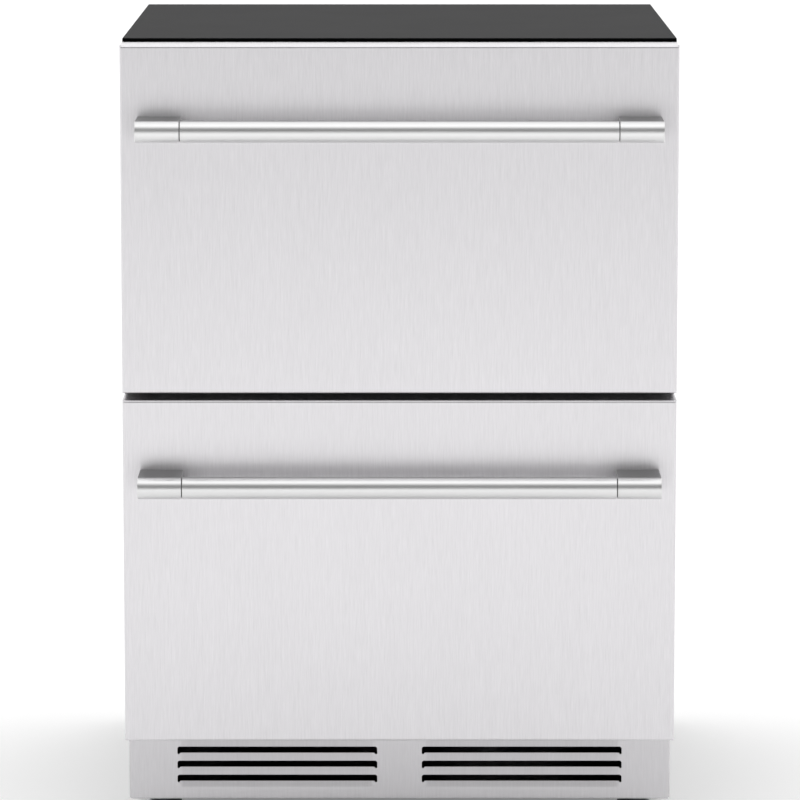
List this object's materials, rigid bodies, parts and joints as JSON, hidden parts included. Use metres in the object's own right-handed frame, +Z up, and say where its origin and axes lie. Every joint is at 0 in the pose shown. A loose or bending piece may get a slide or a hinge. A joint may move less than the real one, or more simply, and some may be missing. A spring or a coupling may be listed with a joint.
{
  "type": "undercounter drawer refrigerator",
  "caption": "Undercounter refrigerator with stacked stainless drawer fronts, bar handles and a louvred toe grille; the drawers pull out on ball runners.",
  "frame": {"origin": "on the floor, under the middle of the bounding box of the closed refrigerator with its handles", "axes": "+X to the right seen from the front, +Y from the drawer fronts to the back, +Z up"},
  "size_m": [0.595, 0.6508, 0.864],
  "materials": {
    "stainless_front": "fine vertical brush grain",
    "stainless_bar": "satin, polished round",
    "stainless_grille": "fine brush grain",
    "stainless_bin": "satin sheet",
    "black_enamel": "satin black enamel",
    "galvanised": "dull zinc coating",
    "zinc_steel": "bright zinc plate",
    "leg_steel": "zinc plate",
    "foam": "rigid polyurethane foam, matt",
    "white_plastic": "smooth white",
    "dark_plastic": "fine matt grain",
    "black_glass": "polished touch panel",
    "lens_plastic": "frosted diffuser",
    "clear_plastic": "clear acrylic",
    "aluminium_coil": "mill finish fins",
    "black_coil": "black paint on fins",
    "motor_metal": "grey enamel",
    "compressor_enamel": "glossy black enamel",
    "copper": "bare copper tube",
    "ball_cage": "brass cages with steel balls",
    "rubber": "matt black rubber",
    "seal_rubber": "soft grey seal"
  },
  "bodies": {
    "cabinet": {"cabinet_shell": "black_enamel", "back_panel": "galvanised", "rear_cover": "galvanised", "case_screws": "zinc_steel", "base_pan": "galvanised", "bulkhead": "galvanised", "foam_body": "foam", "liner": "white_plastic", "front_frame": "black_enamel", "center_rail": "black_enamel", "toe_grille": "stainless_grille", "control_housing": "dark_plastic", "control_glass": "black_glass", "light_lenses": "lens_plastic", "duct_cover": "white_plastic", "evaporator_coil": "aluminium_coil", "evaporator_fan_motor": "motor_metal", "compressor": "compressor_enamel", "compressor_grommets": "rubber", "condenser_coil": "black_coil", "fan_shroud": "dark_plastic", "condenser_fan_motor": "motor_metal", "drain_pan": "dark_plastic", "refrigerant_lines": "copper", "cord_gland": "rubber", "upper_slide_outer": "zinc_steel", "lower_slide_outer": "zinc_steel"},
    "evaporator_fan": {"evaporator_fan": "dark_plastic"},
    "condenser_fan": {"condenser_fan": "dark_plastic"},
    "leg_front_left": {"leg_front_left": "leg_steel"},
    "leg_front_right": {"leg_front_right": "leg_steel"},
    "leg_rear_left": {"leg_rear_left": "leg_steel"},
    "leg_rear_right": {"leg_rear_right": "leg_steel"},
    "upper_drawer": {"upper_front_skin": "stainless_front", "upper_front_core": "foam", "upper_front_liner": "white_plastic", "upper_gasket": "seal_rubber", "upper_handle_bar": "stainless_bar", "upper_handle_posts": "stainless_bar", "upper_handle_screws": "zinc_steel", "upper_bin": "stainless_bin", "upper_side_brackets": "zinc_steel", "upper_slide_inner": "zinc_steel"},
    "upper_slide_middle": {"upper_slide_middle": "zinc_steel"},
    "upper_outer_ball_cages": {"upper_outer_ball_cages": "ball_cage"},
    "upper_inner_ball_cages": {"upper_inner_ball_cages": "ball_cage"},
    "lower_drawer": {"lower_front_skin": "stainless_front", "lower_front_core": "foam", "lower_front_liner": "white_plastic", "lower_gasket": "seal_rubber", "lower_handle_bar": "stainless_bar", "lower_handle_posts": "stainless_bar", "lower_handle_screws": "zinc_steel", "lower_bin": "stainless_bin", "lower_side_brackets": "zinc_steel", "lower_slide_inner": "zinc_steel"},
    "lower_slide_middle": {"lower_slide_middle": "zinc_steel"},
    "lower_outer_ball_cages": {"lower_outer_ball_cages": "ball_cage"},
    "lower_inner_ball_cages": {"lower_inner_ball_cages": "ball_cage"},
    "upper_divider": {"upper_divider": "clear_plastic"}
  },
  "joints": [
    {"name": "upper_drawer_slide", "type": "slide", "parent": "cabinet", "child": "upper_drawer", "axis": [0, -1, 0], "range_m": [0, 0.4]},
    {"name": "upper_middle_slide", "type": "slide", "parent": "cabinet", "child": "upper_slide_middle", "axis": [0, -1, 0], "range_m": [0, 0.2]},
    {"name": "upper_outer_cage_slide", "type": "slide", "parent": "cabinet", "child": "upper_outer_ball_cages", "axis": [0, -1, 0], "range_m": [0, 0.1]},
    {"name": "upper_inner_cage_slide", "type": "slide", "parent": "cabinet", "child": "upper_inner_ball_cages", "axis": [0, -1, 0], "range_m": [0, 0.3]},
    {"name": "lower_drawer_slide", "type": "slide", "parent": "cabinet", "child": "lower_drawer", "axis": [0, -1, 0], "range_m": [0, 0.4]},
    {"name": "lower_middle_slide", "type": "slide", "parent": "cabinet", "child": "lower_slide_middle", "axis": [0, -1, 0], "range_m": [0, 0.2]},
    {"name": "lower_outer_cage_slide", "type": "slide", "parent": "cabinet", "child": "lower_outer_ball_cages", "axis": [0, -1, 0], "range_m": [0, 0.1]},
    {"name": "lower_inner_cage_slide", "type": "slide", "parent": "cabinet", "child": "lower_inner_ball_cages", "axis": [0, -1, 0], "range_m": [0, 0.3]},
    {"name": "upper_divider_slide", "type": "slide", "parent": "upper_drawer", "child": "upper_divider", "axis": [1, 0, 0], "range_m": [-0.2, 0.2]},
    {"name": "evaporator_fan_spin", "type": "hinge", "parent": "cabinet", "child": "evaporator_fan", "pos_m": [0, 0.2334, 0.7], "axis": [0, 1, 0], "continuous": true},
    {"name": "condenser_fan_spin", "type": "hinge", "parent": "cabinet", "child": "condenser_fan", "pos_m": [0.125, 0.2024, 0.12], "axis": [0, 1, 0], "continuous": true},
    {"name": "leg_front_left_screw", "type": "slide", "parent": "cabinet", "child": "leg_front_left", "axis": [0, 0, -1], "range_m": [0, 0.016]},
    {"name": "leg_front_right_screw", "type": "slide", "parent": "cabinet", "child": "leg_front_right", "axis": [0, 0, -1], "range_m": [0, 0.016]},
    {"name": "leg_rear_left_screw", "type": "slide", "parent": "cabinet", "child": "leg_rear_left", "axis": [0, 0, -1], "range_m": [0, 0.016]},
    {"name": "leg_rear_right_screw", "type": "slide", "parent": "cabinet", "child": "leg_rear_right", "axis": [0, 0, -1], "range_m": [0, 0.016]}
  ],
  "couplings": [
    {"joint": "upper_middle_slide", "follows": "upper_drawer_slide", "ratio": 0.5},
    {"joint": "upper_outer_cage_slide", "follows": "upper_drawer_slide", "ratio": 0.25},
    {"joint": "upper_inner_cage_slide", "follows": "upper_drawer_slide", "ratio": 0.75},
    {"joint": "lower_middle_slide", "follows": "lower_drawer_slide", "ratio": 0.5},
    {"joint": "lower_outer_cage_slide", "follows": "lower_drawer_slide", "ratio": 0.25},
    {"joint": "lower_inner_cage_slide", "follows": "lower_drawer_slide", "ratio": 0.75}
  ]
}
